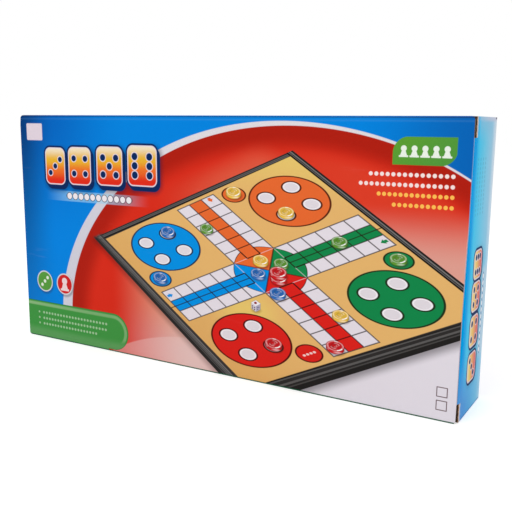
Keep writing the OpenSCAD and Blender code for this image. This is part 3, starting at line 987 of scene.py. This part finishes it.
def ring_points():
    """Outer ring of the sleeve's section, as (y, z, side, outward y, outward z)."""
    hy, r = HALF_Y, CREASE_R
    points = []

    def run(a, b, steps, side):
        for i in range(steps):
            t = i / steps
            normal = {"front": (-1, 0), "top": (0, 1), "back": (1, 0), "bottom": (0, -1)}[side]
            points.append((a[0] + (b[0] - a[0]) * t, a[1] + (b[1] - a[1]) * t, side, *normal))

    def arc(cy, cz, start, side_a, side_b):
        for i in range(ARC_STEPS):
            degrees = start - 90 * i / ARC_STEPS
            side = side_a if i < ARC_STEPS / 2 else side_b
            points.append((*on_arc(cy, cz, r, degrees), side, *on_arc(0, 0, 1, degrees)))

    run((-hy, r), (-hy, HEIGHT - r), WALL_STEPS, "front")
    arc(-hy + r, HEIGHT - r, 180, "front", "top")
    run((-hy + r, HEIGHT), (hy - r, HEIGHT), DECK_STEPS, "top")
    arc(hy - r, HEIGHT - r, 90, "top", "back")
    run((hy, HEIGHT - r), (hy, r), WALL_STEPS, "back")
    arc(hy - r, r, 0, "back", "bottom")
    run((hy - r, 0), (-hy + r, 0), DECK_STEPS, "bottom")
    arc(-hy + r, r, -90, "bottom", "front")
    return points


# How far the long walls bulge and ripple
BULGE = 0.34
RIPPLE = 0.05
# Rubbed corners of the front panel, and where its right end starts to reach the end panel
CORNER_R = 2.0
WORN_CORNER_R = 3.2
FLUSH_FROM = 60
FLUSH_RISE = 50
STATIONS = 48


def slack(x, z):
    """How far a long wall lies inside its flat plane: it bulges a little in the middle."""
    across = 1 - abs(x / HALF_X) ** 5
    up = 1 - abs(2 * z / HEIGHT - 1) ** 4
    ripple = noise.noise(Vector((x * 0.018, z * 0.022, 3.1)))
    return BULGE * (1 - across * up) + RIPPLE + RIPPLE * ripple


def front_end(z, side):
    """Where the front panel ends: flush at the left and the upper right, rubbed round at its corners."""
    radius = WORN_CORNER_R if side < 0 and z > MID_Z else CORNER_R
    short = max(0.0, radius - min(z, HEIGHT - z))
    rubbed = radius - math.sqrt(radius ** 2 - short ** 2)
    flush = 1.0 if side < 0 else min(1.0, max(0.0, (z - FLUSH_FROM) / FLUSH_RISE))
    return FRONT_END + (HALF_X - 0.05 - FRONT_END) * flush - rubbed


def sleeve():
    """The carton's sleeve as one sheet of board, bent round four long creases."""
    ring = ring_points()
    stations = [-1 + 2 * i / STATIONS for i in range(STATIONS + 1)]
    inner_y, inner_z = HALF_Y - BOARD_T - 0.02, HEIGHT - BOARD_T
    vertices, faces, marks = [], [], []
    for layer in (0, 1):
        for station in stations:
            for y, z, side, ny, nz in ring:
                flat = side in ("top", "bottom") and abs(y) < FLAP_HALF_W
                end = TOP_END if flat else (BACK_END if y > 0 else front_end(z, station))
                x = station * end
                if side in ("front", "back"):
                    y = math.copysign(abs(y) - slack(x, z), y)
                y, z = y - ny * BOARD_T * layer, z - nz * BOARD_T * layer
                if layer:
                    z = max(BOARD_T, min(inner_z, z))
                    if side in ("top", "bottom"):
                        y = max(-inner_y, min(inner_y, y))
                vertices.append((x, y, z))
    n, m = len(ring), len(stations)
    kind = {"front": 0, "top": 1, "back": 1, "bottom": 1}
    for layer in (0, 1):
        for i in range(m - 1):
            for j in range(n):
                faces.append(ring_face(layer * n * m, n, i, j))
                marks.append(kind[ring[j][2]] if layer == 0 else 2)
    for i in (0, m - 1):
        for j in range(n):
            k = (j + 1) % n
            faces.append((i * n + j, i * n + k, (m + i) * n + k, (m + i) * n + j))
            marks.append(3)
    return make_piece("carton_sleeve", "carton",
                      ("front_panel", "back_panel", "top_panel", "bottom_panel"),
                      vertices, faces, [FRONT, SLEEVE, KRAFT_LINER, CUT_EDGE], marks)


def slab_piece(name, body, replaced, outline, place, materials, bead=None):
    """A leaf of board: an outline (a, b) extruded by the board's thickness.

    place(a, b, t) gives the vertex at thickness t from 0, the outside, to 1.
    bead gives the crease as a rod along Y: x, z and half its length.
    """
    n = len(outline)
    vertices = [place(a, b, t) for t in (0, 1) for a, b in outline]
    faces = [tuple(range(n)), tuple(range(2 * n - 1, n - 1, -1))]
    marks = [0, 1]
    for i in range(n):
        faces.append(ring_face(0, n, 0, i))
        marks.append(2)
    if bead:
        base, steps = len(vertices), 16
        for y in (-bead[2], bead[2]):
            for k in range(steps):
                x, z = on_arc(bead[0], bead[1], BOARD_T / 2 - 0.01, 360 * k / steps)
                vertices.append((x, y, z))
        for k in range(steps):
            faces.append(ring_face(base, steps, 0, k))
        faces += [tuple(base + k for k in range(steps)), tuple(base + steps + k for k in range(steps))]
        marks += [0] * steps + [2, 2]
    return make_piece(name, body, replaced, vertices, faces, materials, marks, 30)


def rounded_outline(corners):
    """Outline through corners given as (a, b, radius), with arcs at those that have a radius."""
    points = []
    count = len(corners)
    for i, (a, b, radius) in enumerate(corners):
        here = Vector((a, b))
        if radius == 0:
            points.append((a, b))
            continue
        before = (Vector(corners[i - 1][:2]) - here).normalized()
        after = (Vector(corners[(i + 1) % count][:2]) - here).normalized()
        half = before.angle(after) / 2
        reach = radius / math.tan(half)
        start, end = here + before * reach, here + after * reach
        steps = 8
        for k in range(steps + 1):
            t = k / steps
            points.append(tuple((1 - t) ** 2 * start + 2 * t * (1 - t) * here + t ** 2 * end))
    return points


FOLD_R = 2.4
PLAY = 0.3
END_GAP = 0.1
SHOULDER_R = 0.25
TAB_LEAN = math.radians(15)
TAB_DEPTH = 13.0
TAB_R = 8
# Dust flap: taper behind, cut in front from the first depth to the second, and corners
FLAP_TAPER = math.tan(math.radians(30))
FLAP_CUT = 6.5
FLAP_STEP = (9.0, 13.0)
FLAP_R = 4.0


def end_panel(side, s):
    """End panel with its slit-lock shoulders and the rolled fold that leads to the tab."""
    back_y = HALF_Y - BOARD_T / 2
    fold_y = -HALF_Y + BOARD_T + PLAY + FOLD_R
    low, high = END_GAP, HEIGHT - END_GAP
    z_in, z_out = SLIT_H, HEIGHT - SLIT_H
    vertices, faces, marks = [], [], []
    # section paths: outer and inner line from the hinge bead to the front
    bead = [on_arc(HALF_X - BOARD_T / 2, back_y, BOARD_T / 2, a) for a in range(180, -1, -20)]
    flat = [(HALF_X, back_y + (fold_y - back_y) * t) for t in (0.1, 0.25, 0.5, 0.75, 0.9, 1.0)]
    fold = [on_arc(HALF_X - FOLD_R, fold_y, FOLD_R, a) for a in range(-10, -91, -10)]
    inner_fold = [on_arc(HALF_X - FOLD_R, fold_y, FOLD_R - BOARD_T, a) for a in range(-90, 1, 15)]

    def shoulder(front):
        return [(HALF_X, front + SHOULDER_R), (HALF_X - SHOULDER_R, front), (HALF_X - BOARD_T, front)]

    inner_back = [(HALF_X - BOARD_T, back_y - 0.5)]
    mid_section = bead + flat + fold + inner_fold + inner_back
    low_section = bead + flat[:-1] + shoulder(LOW_SHOULDER_Y) + inner_back
    high_section = bead + flat[:-1] + shoulder(SHOULDER_Y) + inner_back

    def add_prism(section, z_values):
        base = len(vertices)
        n = len(section)
        for z in z_values:
            for px, py in section:
                vertices.append((px * s, py, z))
        for i in range(len(z_values) - 1):
            for j in range(n):
                faces.append(ring_face(base, n, i, j))
                outer = j < len(bead) + len(flat) - 1 + (len(fold) if section is mid_section else 0)
                if outer:
                    marks.append(0)
                elif section is not mid_section and j < n - 2:
                    marks.append(2)
                else:
                    marks.append(1)
        for i in (0, len(z_values) - 1):
            faces.append(tuple(base + i * n + j for j in range(n)))
            marks.append(0 if z_values[i] in (low, high) else 2)

    add_prism(mid_section, [z_in + (z_out - z_in) * i / 12 for i in range(13)])
    add_prism(low_section, [low, z_in])
    add_prism(high_section, [z_out, high])
    return make_piece(side + "_end", side + "_closure", (side + "_end_panel",),
                      vertices, faces, [END_PRINT, KRAFT_LINER, CUT_EDGE], marks, 35)


def tuck_tab(side, s):
    """The tab behind the front panel, leaning in a little."""
    lo, hi = node_box(side + "_tuck_tab")
    pivot_x = HALF_X - FOLD_R
    pivot_y = -HALF_Y + BOARD_T + PLAY + BOARD_T / 2
    outline = rounded_outline([
        (0, lo.z, 0), (TAB_DEPTH, lo.z, TAB_R), (TAB_DEPTH, hi.z, TAB_R), (0, hi.z, 0)])

    def place(a, b, t):
        across = (t - 0.5) * BOARD_T
        x = pivot_x - a * math.cos(TAB_LEAN) + across * math.sin(TAB_LEAN)
        y = pivot_y + a * math.sin(TAB_LEAN) + across * math.cos(TAB_LEAN)
        return (x * s, y, b)

    return slab_piece(side + "_tab", side + "_tab", (side + "_tuck_tab",),
                      outline, place, [TAB_LINER, KRAFT_LINER, CUT_EDGE])


def dust_flap(side, s, level):
    """A dust flap: shouldered at the front for the slit lock, tapered at the back."""
    name = f"{side}_{level}_dust_flap"
    lo, hi = node_box(name)
    half = hi.y
    length = hi.z - lo.z - BOARD_T / 2
    outline = rounded_outline([
        (-half, 0, 0), (half, 0, 0), (half - 0.7, 1.0, 0), (half - length * FLAP_TAPER, length, FLAP_R),
        (FLAP_CUT - half, length, FLAP_R), (FLAP_CUT - half, FLAP_STEP[1], 1.0), (-half, FLAP_STEP[0], 1.2)])
    crease = HEIGHT - BOARD_T / 2 if level == "upper" else BOARD_T / 2
    way = -1 if level == "upper" else 1
    x_out = max(abs(lo.x), abs(hi.x))

    def place(a, b, t):
        return ((x_out - t * BOARD_T) * s, a, crease + way * b)

    return slab_piece(f"{side}_{level}_flap_leaf", f"{side}_{level}_flap", (name,),
                      outline, place, [WHITE_LINER, KRAFT_LINER, CUT_EDGE],
                      ((x_out - BOARD_T / 2) * s, crease, half))


# ---- materials of the CAD pieces inside ----


def black_plastic():
    """Black moulded plastic with a fine grain."""
    s = Shader("moulded_black")
    fine = s.noise(2600, 3.0)
    wide = s.noise(60, 2.0)
    tone = s.mix(rgb(36, 38, 41), rgb(66, 68, 70), wide.ramp(0.4, 0.9) * 0.25)
    return s.finish(tone, s.blend(0.42, 0.58, fine), s.bump(fine, 0.03), Specular_IOR_Level=0.45)


def tinted_plastic(name, colour):
    """Clear tinted pawn plastic."""
    s = Shader(name)
    swirl = s.noise(240, 3.0)
    tone = s.mix(colour, WHITE, swirl.ramp(0.5, 0.9) * 0.18)
    return s.finish(tone, s.blend(0.08, 0.2, swirl), s.bump(swirl, 0.05),
                    Transmission_Weight=0.55, IOR=1.49, Coat_Weight=0.3)


def metal(name, colour, stretch):
    """Rolled or drawn steel with a directional grain."""
    s = Shader(name)
    lines = s.noise(900, 4.0, stretch)
    tone = s.mix(colour, rgb(120, 122, 126), lines)
    return s.finish(tone, s.blend(0.28, 0.46, lines), s.bump(lines, 0.01), Metallic=1.0)


def foam_material():
    s = Shader("piece_foam")
    cells = s.node("ShaderNodeTexVoronoi")
    cells.inputs["Scale"].default_value = 1400
    s.feed(cells.inputs["Vector"], s.coordinates)
    size = Field(s, cells.outputs["Distance"])
    tone = s.mix(rgb(74, 77, 82), rgb(34, 36, 40), size)
    return s.finish(tone, 0.95, s.bump(size, 0.2), Specular_IOR_Level=0.1)


def paper_material():
    s = Shader("leaflet_paper")
    fibres = s.noise(600, 5.0)
    tone = s.mix(rgb(236, 234, 228), rgb(212, 208, 200), fibres.ramp(0.45, 0.8) * 0.5)
    return s.finish(tone, 0.8, s.bump(fibres, 0.03), Specular_IOR_Level=0.2)


def die_material():
    """White die whose recessed pips are painted: their faces lie inside the cube's surface."""
    s = Shader("die_white")
    x, y, z = s.place()
    lo, hi = node_box("die")
    centre = (lo + hi) / 2
    reach = (hi.x - lo.x) / 2
    far = (x - centre.x).abs().max((y - centre.y).abs()).max((z - centre.z).abs())
    grain = s.noise(800, 2.0)
    tone = s.mix(rgb(236, 234, 228), rgb(226, 222, 216), grain)
    tone = s.mix(tone, rgb(40, 20, 30), far.ramp(reach - 0.06, reach - 0.1))
    return s.finish(tone, 0.25, s.bump(grain, 0.01), Coat_Weight=0.3)


def playing_material(name, flip):
    """The printed playing sheet of one half: half of the ludo pattern, cut along the fold."""
    s = Shader(name)
    x, _, z = s.place()
    lo, hi = node_box("front_playing_sheet")
    cell = (hi.x - lo.x) / (2 * SHEET_FAR)
    ink = Ink(s, SHEET_TAN)
    s.layer(ludo_sheet, ink, x / cell, (hi.z - z) / cell * flip)
    grain = s.noise(500, 3.0)
    return s.finish(ink.colour, s.blend(0.4, 0.52, grain), s.bump(grain, 0.02), Specular_IOR_Level=0.4)


def dress(node, material):
    """Gives a carried-over CAD node its finished material."""
    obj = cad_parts[node]
    if not obj.material_slots:
        obj.data.materials.append(material)
    for slot in obj.material_slots:
        slot.material = material


FRONT = front_material()
SLEEVE = sleeve_material()
END_PRINT = end_material()
KRAFT_LINER = kraft_material()
WHITE_LINER = liner_material()
TAB_LINER = tab_material()
CUT_EDGE = edge_material()

sleeve()
for side, s in (("right", 1), ("left", -1)):
    end_panel(side, s)
    tuck_tab(side, s)
    dust_flap(side, s, "upper")
    dust_flap(side, s, "lower")

PAWN_COLOURS = {"red": rgb(196, 24, 30), "blue": rgb(30, 90, 180),
                "green": rgb(70, 140, 50), "yellow": rgb(230, 170, 40)}
INNER_MATERIALS = [
    (KRAFT_LINER, ["glue_seam"]),
    (black_plastic(), ["front_half", "rear_half", "latch_clip"]),
    (metal("pin_steel", rgb(190, 192, 196), (6, 1, 1)), ["hinge_pin_left", "hinge_pin_right"]),
    (metal("sheet_steel", rgb(176, 178, 182), (0.1, 1, 1)), ["front_steel_sheet", "rear_steel_sheet"]),
    (playing_material("front_ludo_sheet", -1), ["front_playing_sheet"]),
    (playing_material("rear_ludo_sheet", 1), ["rear_playing_sheet"]),
    (foam_material(), ["piece_foam"]),
    (paper_material(), ["rules_leaflet"]),
    (die_material(), ["die"]),
    (metal("magnet_dark", rgb(70, 70, 74), (1, 1, 1)), [name + "_pawn_magnets" for name in PAWN_COLOURS]),
]
for name, colour in PAWN_COLOURS.items():
    pawns = [f"{name}_pawn_{i}" for i in range(1, 5)]
    INNER_MATERIALS.append((tinted_plastic(name + "_clear", colour), pawns))
for material, nodes in INNER_MATERIALS:
    for node in nodes:
        dress(node, material)

# ---- stage, light and camera ----


AMBIENT = 0.62
KEY_POWER = 9.4
FILL_POWER = 5.6
FLOOR_HALF = 4.0
FLOOR_GLOW = 0.42

# Camera fitted to the photograph's view of the carton's corners
CAMERA_PLACE = (258.3, -400.3, 159.5)
CAMERA_YAW = 30.5
CAMERA_PITCH = -10.23
CAMERA_ROLL = 0.54
FOCAL_PIXELS = 726.3
IMAGE_PIXELS = 512
SENSOR = 36.0


def stage_floor():
    """Pale floor that keeps the carton's shadow and fades into the white background."""
    mesh = bpy.data.meshes.new("floor")
    corners = [(a * FLOOR_HALF, b * FLOOR_HALF, 0) for a, b in ((-1, -1), (1, -1), (1, 1), (-1, 1))]
    mesh.from_pydata(corners, [], [(0, 1, 2, 3)])
    s = Shader("floor_white")
    grain = s.noise(30, 2.0)
    s.finish(s.mix(rgb(250, 250, 250), rgb(247, 247, 247), grain), 0.9, Specular_IOR_Level=0.0)
    glow = s.node("ShaderNodeEmission")
    path = s.node("ShaderNodeLightPath")
    seen = Field(s, path.outputs["Is Camera Ray"]).max(Field(s, path.outputs["Is Glossy Ray"]))
    s.feed(glow.inputs["Strength"], seen * FLOOR_GLOW)
    total = s.node("ShaderNodeAddShader")
    s.feed(total.inputs[0], s.surface.outputs["BSDF"])
    s.feed(total.inputs[1], glow.outputs[0])
    s.feed(s.output.inputs["Surface"], total.outputs[0])
    mesh.materials.append(s.material)
    add_object("floor", mesh)


def area_light(name, place, target, size, power):
    data = bpy.data.lights.new(name, "AREA")
    data.size = size
    data.energy = power
    lamp = add_object(name, data)
    lamp.location = place
    lamp.rotation_euler = (Vector(target) - Vector(place)).to_track_quat("-Z", "Y").to_euler()


def light_scene():
    """An even white world, white to the camera, and two soft lamps."""
    world = bpy.data.worlds.new("studio")
    world.use_nodes = True
    s = Nodes(world.node_tree)
    s.tree.nodes.clear()
    output = s.node("ShaderNodeOutputWorld")
    pick = s.node("ShaderNodeMixShader")
    s.feed(pick.inputs[0], s.node("ShaderNodeLightPath").outputs["Is Camera Ray"])
    for socket, strength in zip(pick.inputs[1:], (AMBIENT, 1.0)):
        ground = s.node("ShaderNodeBackground")
        ground.inputs["Color"].default_value = WHITE
        ground.inputs["Strength"].default_value = strength
        s.feed(socket, ground.outputs[0])
    s.feed(output.inputs[0], pick.outputs[0])
    bpy.context.scene.world = world
    area_light("key_light", (-0.5, -1.35, 1.1), (0, 0, 0.08), 1.2, KEY_POWER)
    area_light("fill_light", (1.5, -0.7, 0.7), (0.1, 0, 0.08), 1.0, FILL_POWER)


def place_camera():
    data = bpy.data.cameras.new("camera")
    data.sensor_width = SENSOR
    data.lens = FOCAL_PIXELS / IMAGE_PIXELS * SENSOR
    data.clip_start = 0.01
    camera = add_object("camera", data)
    yaw, pitch, roll = (math.radians(a) for a in (CAMERA_YAW, CAMERA_PITCH, CAMERA_ROLL))
    ahead = Vector((-math.sin(yaw) * math.cos(pitch), math.cos(yaw) * math.cos(pitch), math.sin(pitch)))
    right = Vector((math.cos(yaw), math.sin(yaw), 0))
    up = right.cross(ahead)
    rolled_right = math.cos(roll) * right + math.sin(roll) * up
    rolled_up = -math.sin(roll) * right + math.cos(roll) * up
    turn = Matrix((rolled_right, rolled_up, -ahead)).transposed().to_4x4()
    camera.matrix_world = Matrix.Translation(Vector(CAMERA_PLACE) * MM) @ turn
    bpy.context.scene.camera = camera


stage_floor()
light_scene()
place_camera()
bpy.context.scene.view_settings.view_transform = "Standard"
